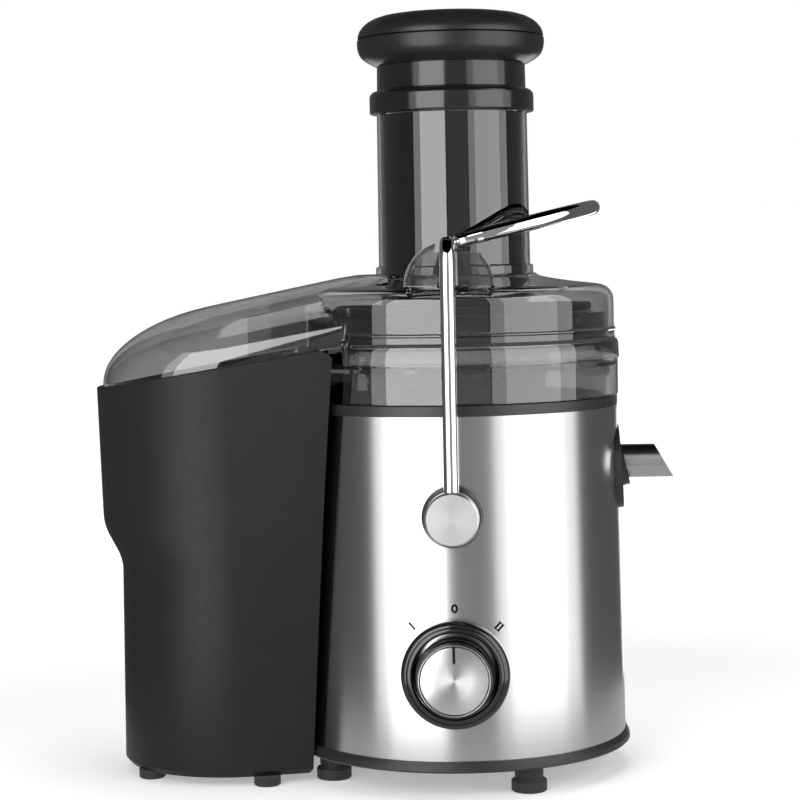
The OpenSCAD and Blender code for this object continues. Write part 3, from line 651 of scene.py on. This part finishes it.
def build_container():
    """Thin shell: rows of points go up its outside, over the rim and down its inside."""
    wall, upper_from, rim_radius = 2.5, 143, 0.5
    count, nest_count, upper_rows = 110, 26, 12
    columns = 2 * (count + nest_count)

    def ring(outline):
        return outline + [(x, -y) for x, y in reversed(outline[1:-1])]

    heights = [TUB_FLOOR + i for i in range(250)]
    skins = ([], [])
    for z in heights:
        skins[0].append(ring(half_outline(z, 0.0, NEST_R, count, nest_count)))
        skins[1].append(ring(half_outline(z, wall, NEST_R + wall, count, nest_count)))

    def point(skin, j, z):
        k = min(max(z - TUB_FLOOR, 0), len(heights) - 1.001)
        i = int(k)
        return (*between(skins[skin][i][j], skins[skin][i + 1][j], k - i), z)

    def rim(j):
        z = 225.0
        for _ in range(6):
            z = rim_height(point(0, j, z)[0])
        return z

    def level(skin, z):
        return [point(skin, j, z) for j in range(columns)]

    def upper_level(skin, i):
        part = i / upper_rows
        return [point(skin, j, upper_from + (rims[j] - rim_radius - upper_from) * part)
                for j in range(columns)]

    def over_rim(across):
        return [between(point(0, j, rims[j]), point(1, j, rims[j]), across) for j in range(columns)]

    rims = [rim(j) for j in range(columns)]
    outer_rise = [TUB_FLOOR + up for up in (0, 0.6, 1.6, 3.0)]
    shared = [60.0] + [110 + 1.5 * i for i in range(23)]
    inner_rise = [TUB_FLOOR + up for up in (4.0, 3.0, 2.5)]
    rows = [level(0, z) for z in outer_rise + shared]
    rows += [upper_level(0, i) for i in range(1, upper_rows + 1)]
    rows += [over_rim(0.2), over_rim(0.8)]
    rows += [upper_level(1, i) for i in range(upper_rows, 0, -1)]
    rows += [level(1, z) for z in shared[::-1] + inner_rise]
    points = [tuple(MM * v for v in p) for row in rows for p in row]
    faces = grid_faces(len(rows), columns, wrap_columns=True)
    faces.append(tuple(range(columns)))
    faces.append(tuple(range(len(points) - 1, len(points) - columns - 1, -1)))
    make_piece("container_body", points, faces, "container_plastic", "pulp_tub",
               ("pulp_container",), 30)


# ---------- Pusher cap ----------

def build_pusher_cap():
    """Two shells that meet at a fine groove; the heights are above each shell's own foot."""
    lower = [(0, 3.1), (38.0, 3.1), (38.6, 0.1), (40.2, 0.1), (42.2, 0.8), (44.2, 2.0), (46.2, 3.1),
             (47.9, 4.4), (49.3, 6.0), (50.2, 7.8), (50.7, 9.8), (50.9, 12.0), (50.9, 13.9),
             (50.7, 14.4), (50.2, 14.65), (48.6, 14.7), (47.6, 8.6), (0, 7.6)]
    upper = [(0, 10.9), (38, 9.7), (46, 5.1), (48.6, 0), (49.9, 0.05), (50.4, 0.3), (50.55, 0.9),
             (50.2, 2.6), (49.3, 4.7), (47.6, 6.9), (45.2, 8.9), (42, 10.6), (38, 11.9), (33, 12.7),
             (26, 13.3), (14, 13.65), (0, 13.7)]
    for name, profile, node in (("cap_lower", lower, "pusher_cap_base"),
                                ("cap_upper", upper, "pusher_cap_top")):
        foot = node_box(node)[0][2]
        raised = [(r, foot + z) for r, z in profile]
        lathe(name, raised, "satin_black", "pusher", (node,), sharp=40)


# ---------- Speed knob and its marks ----------

KNOB_Z = (node_box("knob_bezel")[0][2] + node_box("knob_bezel")[1][2]) / 2
BEZEL_R = node_box("knob_bezel")[1][0]
CAP_BACK, CAP_FRONT = 107.15, 109.4  # distances of the knob's cap from the body's axis
SHELL_LOW, SHELL_HIGH = node_box("body_shell")
SHELL_TOP_R = node_box("top_collar")[1][0]


def on_shell(u, v, lift):
    """Point on the steel, u to the right and v above the knob's axis, standing out by lift."""
    z = KNOB_Z + v
    up = (z - SHELL_LOW[2]) / (SHELL_HIGH[2] - SHELL_LOW[2])
    r = SHELL_HIGH[0] + (SHELL_TOP_R - SHELL_HIGH[0]) * up + lift
    return (u * MM, -math.sqrt(r * r - u * u) * MM, z * MM)


def facing_front(r, out, a):
    """Turns a profile about the knob's axis; out is the distance in front of the body's axis."""
    u, v = r * math.cos(a), r * math.sin(a)
    return (u, min(-out, on_shell(u, v, 0.1)[1] / MM), KNOB_Z + v)


def build_knob():
    """Bezel, grip, and a spun cap whose rim ring is set off by a black groove."""
    bezel = [(22.0, 0), (BEZEL_R, 0), (BEZEL_R, 92.2)] + arc((BEZEL_R - 3.8, 92.2), 3.8, 4, 58, 7)
    bezel += [(25.4, 95.8), (25.1, 95.5), (24.8, 95.75), (23.6, 96.3)]
    bezel += arc((23.1, 95.7), 0.6, 80, 180, 6) + [(22.3, 94.6), (22.0, 94.4)]
    grip = [(3.1, 95.5), (20.6, 95.5), (20.7, 96.4), (20.3, 97.0), (20.2, 101.5), (20.0, 102.0),
            (19.9, 102.0), (19.5, 107.4)] + arc((18.8, 107.9), 0.7, 10, 84, 5)
    grip += [(18.62, 108.5), (18.6, CAP_BACK - 0.05), (3.1, CAP_BACK - 0.05)]
    ring = [(17.95, CAP_BACK), (18.5, CAP_BACK), (18.5, 109.2), (18.35, CAP_FRONT), (18.1, CAP_FRONT),
            (17.95, 109.2)]
    cap = [(0, CAP_BACK), (17.3, CAP_BACK), (17.3, 109.1), (17.1, 109.35), (16.6, 109.45),
           (9, CAP_FRONT), (0, 109.35)]

    def turn(name, profile, slot, body, replaces, sharp=32):
        return lathe(name, profile, slot, body, replaces, 192, facing_front, sharp)

    turn("bezel_ring", bezel, "gloss_black", "base", ("knob_bezel",))
    turn("knob_grip", grip, "gloss_black", "speed_knob", ("knob",))
    turn("cap_ring", ring, "spun_metal", "speed_knob", (), 40)
    cut_pointer(turn("cap_face", cap, "spun_metal", "speed_knob", ("knob_cap",), 40))


def cut_pointer(face):
    """Cuts the pointer's notch into the cap, from its upper edge towards its middle."""
    half, low, high, depth, past = 0.75, 8.6, 17.6, 2.6, 1.6
    outline = arc((0, low + half), half, 180, 360, 10) + [(half, high), (-half, high)]
    points, faces = slab([(u, KNOB_Z + v) for u, v in outline], CAP_FRONT - depth, CAP_FRONT + past, -1)
    mesh = bpy.data.meshes.new("pointer_cutter")
    mesh.from_pydata(points, [], faces)
    mark_sharp(mesh)
    cutter = bpy.data.objects.new("pointer_cutter", mesh)
    bpy.context.scene.collection.objects.link(cutter)
    notch = face.modifiers.new("notch", "BOOLEAN")
    notch.operation = "DIFFERENCE"
    notch.solver = "EXACT"
    notch.object = cutter
    apply_modifiers(face, 40)
    bpy.data.objects.remove(cutter)


def stroke(path, width, closed=False):
    """Thin raised line along a path on the steel."""
    n = len(path)
    sunk, raised = -0.03, 0.1
    rails = ([], [])
    for i, (u, v) in enumerate(path):
        before = path[(i - 1) % n] if closed or i else path[i]
        after = path[(i + 1) % n] if closed or i < n - 1 else path[i]
        du, dv = after[0] - before[0], after[1] - before[1]
        size = math.hypot(du, dv)
        for rail, side in zip(rails, (-0.5, 0.5)):
            rail.append((u - dv / size * width * side, v + du / size * width * side))
    points = [on_shell(u, v, lift) for lift in (sunk, raised) for rail in rails for u, v in rail]
    up = 2 * n
    faces = []
    for i in range(n if closed else n - 1):
        k = (i + 1) % n
        a, b, c, d = i, k, n + k, n + i
        faces += [(a, b, c, d), (up + a, up + d, up + c, up + b), (a, up + a, up + b, b),
                  (d, c, up + c, up + d)]
    if not closed:
        faces += [(0, n, up + n, up), (n - 1, up + n - 1, up + 2 * n - 1, 2 * n - 1)]
    return points, faces


def dial_point(angle, r, sideways=0.0):
    """Point round the knob's axis, at an angle clockwise from straight up."""
    a = math.radians(angle)
    return (r * math.sin(a) + sideways * math.cos(a), r * math.cos(a) - sideways * math.sin(a))


def build_dial_marks():
    """The generic marks I, 0 and II round the knob."""
    one_at, two_at, line, serif = -42, 43.5, 1.05, 0.5
    marks = [stroke([dial_point(one_at, r) for r in (30.9, 33.3, 35.7)], line)]
    oval = [TURN * k / 32 for k in range(32)]
    marks.append(stroke([(1.3 * math.cos(t), 33.9 + 1.8 * math.sin(t)) for t in oval], line, True))
    for sideways in (-1.0, 1.0):
        marks.append(stroke([dial_point(two_at, r, sideways) for r in (31.0, 33.0, 35.0)], 1.0))
    for r in (31.0, 35.0):
        marks.append(stroke([dial_point(two_at, r, w) for w in (-1.8, 0, 1.8)], serif))
    make_piece("dial_marks", *joined(marks), DIAL_INK, "base")


# ---------- Filter basket ----------

def build_basket():
    """Conical strainer with a real hole in each cell of its sheet, except in every eighth row from the foot and in
    the top row.
    """
    (_, _, foot), (top_r, _, top) = node_box("filter_basket")
    low, high = (46.2, foot + 0.2), (top_r - 0.3, top - 0.1)
    columns, rows, plain_every, wall = 168, 24, 8, 0.35
    hole_start, hole_end = 0.24, 0.76
    slope = math.atan2(high[0] - low[0], high[1] - low[1])
    out = (math.cos(slope), -math.sin(slope))

    def spot(i, j, lift):
        r, z = between(low, high, i / rows)
        r, z = r + out[0] * lift, z + out[1] * lift
        a = TURN * j / columns
        return (r * math.cos(a) * MM, r * math.sin(a) * MM, z * MM)

    points = [spot(i, j, lift) for lift in (wall, 0.0) for i in range(rows + 1) for j in range(columns)]
    inner_start = (rows + 1) * columns
    faces = []
    for i in range(rows):
        for j in range(columns):
            k = (j + 1) % columns
            outer = [a * columns + b for a, b in ((i, j), (i, k), (i + 1, k), (i + 1, j))]
            inner = [inner_start + v for v in outer]
            if i == rows - 1 or i % plain_every == 0:
                faces += [tuple(outer), tuple(reversed(inner))]
                continue
            hole = []
            for lift in (wall, 0.0):
                hole.append(len(points))
                points += [spot(i + di, j + dj, lift) for di, dj in
                           ((hole_start, hole_start), (hole_start, hole_end),
                            (hole_end, hole_end), (hole_end, hole_start))]
            for m in range(4):
                n = (m + 1) % 4
                faces += [(outer[m], outer[n], hole[0] + n, hole[0] + m),
                          (inner[n], inner[m], hole[1] + m, hole[1] + n),
                          (hole[0] + m, hole[0] + n, hole[1] + n, hole[1] + m)]
    for i in (0, rows):
        for j in range(columns):
            a, b = i * columns + j, i * columns + (j + 1) % columns
            faces.append((a, inner_start + a, inner_start + b, b))
    make_piece("strainer", points, faces, "basket_steel", "rotor", ("filter_basket",), 40)


def grater_tooth(r, angle, base_z):
    """Small wedge that rises towards its leading edge, at a radius and an angle on the disc."""
    half_length, half_width, tip_at, tip_half, rise = 0.9, 0.8, 0.75, 0.25, 1.3
    corners = [(-half_length, -half_width, 0), (half_length, -half_width, 0),
               (half_length, half_width, 0), (-half_length, half_width, 0),
               (tip_at, -tip_half, rise), (tip_at, tip_half, rise)]
    c, s = math.cos(angle), math.sin(angle)
    points = []
    for along, across, up in corners:
        x, y = r + across, along
        points.append(((x * c - y * s) * MM, (x * s + y * c) * MM, (base_z + up) * MM))
    return points, [(3, 2, 1, 0), (0, 1, 4), (1, 2, 5, 4), (2, 3, 5), (3, 0, 4, 5)]


def build_grater():
    """Cutting disc with curved rows of raised teeth round a low boss."""
    (_, _, foot), (disc_r, _, _) = node_box("grater_disc")
    disc = [(0, 0), (disc_r, 0), (disc_r, 1.0), (disc_r - 0.4, 1.2), (9.0, 1.2), (7.4, 2.4),
            (5.0, 3.0), (0, 3.2)]
    steps, tooth_rows, teeth, first_r, pitch, curl = 96, 12, 9, 12, 3.7, 0.011
    points = turned([(r, foot + z) for r, z in disc], steps)
    parts = [(points, grid_faces(len(disc), steps, wrap_columns=True, wrap_rows=True))]
    for row in range(tooth_rows):
        for k in range(teeth):
            angle = TURN * (row / tooth_rows + curl * k)
            parts.append(grater_tooth(first_r + pitch * k, angle, foot + 1.15))
    make_piece("cutting_disc", *joined(parts), "basket_steel", "rotor", ("grater_disc",), 25)


build_lid()
build_latches()
build_lid_edge()
build_chute_walls()
build_container()
build_pusher_cap()
build_knob()
build_dial_marks()
build_basket()
build_grater()


# ---------- Studio, in metres and degrees ----------

HEART = Vector((0, 0, 0.2))  # what the lights look at
SOFTBOX_AWAY = 1.4
SOFTBOX_LOW, SOFTBOX_HIGH = -0.95, 1.45
LOW_BACK_HIGH = 0.1          # the back one ends below the lid, whose clear roof would reflect it
# Softboxes from the left round to the right: name, first and last azimuth, radiance, top
SOFTBOXES = [
    ("left_wing", -58, -47, 1.3, SOFTBOX_HIGH),
    ("left_main", -47, -8, 3.4, SOFTBOX_HIGH),
    ("gap_fill", -6, 25, 0.17, SOFTBOX_HIGH),
    ("right_inner_wing", 26, 36, 1.25, SOFTBOX_HIGH),
    ("right_main", 36, 78, 2.3, SOFTBOX_HIGH),
    ("right_outer_wing", 78, 92, 1.3, SOFTBOX_HIGH),
    ("low_back", 160, 200, 2.0, LOW_BACK_HIGH)]
WORLD_GLOW = 0.11
DOME_R, FLOOR_R = 5, 4.9
# The camera stands where the photo's outlines are met best
CAMERA_PLACE = (0.0476, -1.2564, 0.2818)
CAMERA_TURN, CAMERA_PITCH, CAMERA_ROLL = 3.6, 3.64, 1.186
CAMERA_LENS, CAMERA_SENSOR = 103.1, 36


def at_azimuth(degrees, distance, height):
    """Point round the object: 0 degrees is in front of it, 90 on the spout's side."""
    a = math.radians(degrees)
    return Vector((distance * math.sin(a), -distance * math.cos(a), height))


def only_seen_by(piece, *kinds):
    for kind in ("camera", "diffuse", "glossy", "transmission", "volume_scatter", "shadow"):
        setattr(piece, "visible_" + kind, kind in kinds)


def emitter(name, strength):
    """Material that only gives white light."""
    made = bpy.data.materials.new(name)
    made.use_nodes = True
    tree = made.node_tree
    tree.nodes.clear()
    out = tree.nodes.new("ShaderNodeOutputMaterial")
    glow = tree.nodes.new("ShaderNodeEmission")
    glow.inputs["Color"].default_value = (1, 1, 1, 1)
    glow.inputs["Strength"].default_value = strength
    tree.links.new(glow.outputs["Emission"], out.inputs["Surface"])
    return made


def area_light(name, location, target, size, power):
    data = bpy.data.lights.new(name, "AREA")
    data.shape = "RECTANGLE"
    data.size, data.size_y = size
    data.energy = power
    light = bpy.data.objects.new(name, data)
    light.location = location
    light.rotation_mode = "QUATERNION"
    light.rotation_quaternion = (target - location).to_track_quat("-Z", "Y")
    light.visible_camera = False
    bpy.context.scene.collection.objects.link(light)
    return light


def softbox(name, start, end, radiance, high):
    """Upright light over the azimuths from start to end; the clear parts don't show it."""
    half = math.radians(end - start) / 2
    width, height = 2 * SOFTBOX_AWAY * math.tan(half), high - SOFTBOX_LOW
    power = radiance * math.pi * width * height
    place = at_azimuth((start + end) / 2, SOFTBOX_AWAY, (SOFTBOX_LOW + high) / 2)
    light = area_light(name, place, Vector((0, 0, place.z)), (width, height), power)
    light.visible_transmission = False


def curved_card(name, azimuth, spread, distance, low, high, glow):
    """Upright curved sheet of light that is only seen through the clear parts."""
    steps = 24
    points = []
    for height in (low, high):
        points += [at_azimuth(azimuth - spread + 2 * spread * k / steps, distance, height)
                   for k in range(steps + 1)]
    mesh = bpy.data.meshes.new(name)
    mesh.from_pydata(points, [], grid_faces(2, steps + 1))
    mesh.materials.append(emitter(name, glow))
    card = bpy.data.objects.new(name, mesh)
    bpy.context.scene.collection.objects.link(card)
    only_seen_by(card, "transmission")


def stage_disc(name, radius, height, material):
    bpy.ops.mesh.primitive_circle_add(vertices=64, radius=radius, fill_type="NGON",
                                      location=(0, 0, height))
    disc = bpy.context.object
    disc.name = name
    disc.data.materials.append(material)
    return disc


def reflected_disc(name, radius, height, glow):
    """Level disc, bright or dark, that is only seen in reflections."""
    only_seen_by(stage_disc(name, radius, height, emitter(name, glow)), "glossy")


def make_backdrop():
    """White dome that only the camera sees, and an even world light."""
    scene = bpy.context.scene
    scene.view_settings.view_transform = "Standard"
    scene.world = bpy.data.worlds.new("studio")
    scene.world.use_nodes = True
    background = scene.world.node_tree.nodes["Background"]
    background.inputs["Color"].default_value = (1, 1, 1, 1)
    background.inputs["Strength"].default_value = WORLD_GLOW
    bpy.ops.mesh.primitive_uv_sphere_add(segments=48, ring_count=24, radius=DOME_R)
    dome = bpy.context.object
    dome.name = "backdrop"
    dome.data.materials.append(emitter("backdrop_white", 1.0))
    only_seen_by(dome, "camera")


def make_floor():
    """Pale floor that takes the soft shadow and brightens into the backdrop."""
    paint = Surface("floor_white", Roughness=0.9, Specular_IOR_Level=0.1)
    paint.set("Base Color", (0.93, 0.93, 0.93, 1))
    paint.set("Emission Color", (1, 1, 1, 1))
    away = paint.node("ShaderNodeVectorMath")
    away.operation = "LENGTH"
    paint.feed(away.inputs[0], paint.node("ShaderNodeNewGeometry").outputs["Position"])
    paint.set("Emission Strength", paint.remap(away.outputs["Value"], 0.35, 1.0, 0.35, 1.3))
    stage_disc("floor", FLOOR_R, 0, paint.material).visible_glossy = False


def make_studio():
    make_backdrop()
    make_floor()
    for settings in SOFTBOXES:
        softbox(*settings)
    top = area_light("softbox_top", Vector((0, 0.2, 1.9)), HEART, (1.2, 1.2), 14)
    top.visible_glossy = False
    reflected_disc("floor_sheen", 0.3, 0, 0.5)
    reflected_disc("flag_above", 1.9, 1.85, 0)
    curved_card("card_behind", 180, 32, 2.6, -1.0, 2.4, 1.0)


def make_camera():
    data = bpy.data.cameras.new("camera")
    data.lens = CAMERA_LENS
    data.sensor_width = CAMERA_SENSOR
    camera = bpy.data.objects.new("camera", data)
    turn, pitch, roll = (math.radians(a) for a in (CAMERA_TURN, CAMERA_PITCH, CAMERA_ROLL))
    around = Matrix.Rotation(turn, 3, "Z")
    forward = around @ Vector((0, math.cos(pitch), -math.sin(pitch)))
    level = around @ Vector((1, 0, 0))
    rise = around @ Vector((0, math.sin(pitch), math.cos(pitch)))
    right = level * math.cos(roll) - rise * math.sin(roll)
    up = level * math.sin(roll) + rise * math.cos(roll)
    facing = Matrix((right, up, -forward)).transposed().to_4x4()
    camera.matrix_world = Matrix.Translation(CAMERA_PLACE) @ facing
    bpy.context.scene.collection.objects.link(camera)
    bpy.context.scene.camera = camera


make_studio()
make_camera()
